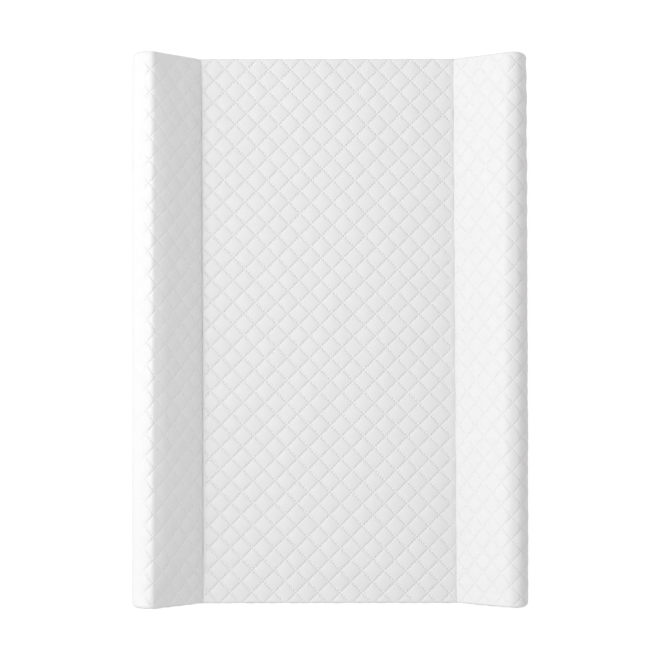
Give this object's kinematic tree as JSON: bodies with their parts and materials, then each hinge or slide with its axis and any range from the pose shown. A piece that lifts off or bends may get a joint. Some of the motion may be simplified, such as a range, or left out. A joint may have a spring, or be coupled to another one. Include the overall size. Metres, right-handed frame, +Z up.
{
  "type": "changing pad",
  "caption": "Hard-based baby changing mat with a flat quilted bed between two straight raised foam sides, standing on underside stops.",
  "frame": {"origin": "on the ground under the middle of the mat, level with the stops' soles", "axes": "+X across the mat to its right side, +Y along the mat to its head end, +Z up"},
  "size_m": [0.5, 0.7, 0.111],
  "materials": {
    "quilted_sheet": "satin",
    "foam": "matte",
    "hardboard": "matte",
    "webbing": "matte",
    "lining_sheet": "matte",
    "stop_plastic": "matte",
    "zinc_steel": "satin",
    "staple_wire": "satin"
  },
  "bodies": {
    "root": {"base_board": "hardboard", "bed_foam": "foam", "cover_staples": "staple_wire", "foot_end_panel": "quilted_sheet", "foot_left_stop": "stop_plastic", "foot_right_stop": "stop_plastic", "head_end_panel": "quilted_sheet", "head_left_stop": "stop_plastic", "head_right_stop": "stop_plastic", "left_bolster_foam": "foam", "left_valley_tape": "webbing", "quilted_cover": "quilted_sheet", "right_bolster_foam": "foam", "right_valley_tape": "webbing", "stop_nuts": "zinc_steel", "stop_screws": "zinc_steel", "tape_staples": "staple_wire", "underside_lining": "lining_sheet"}
  },
  "joints": []
}
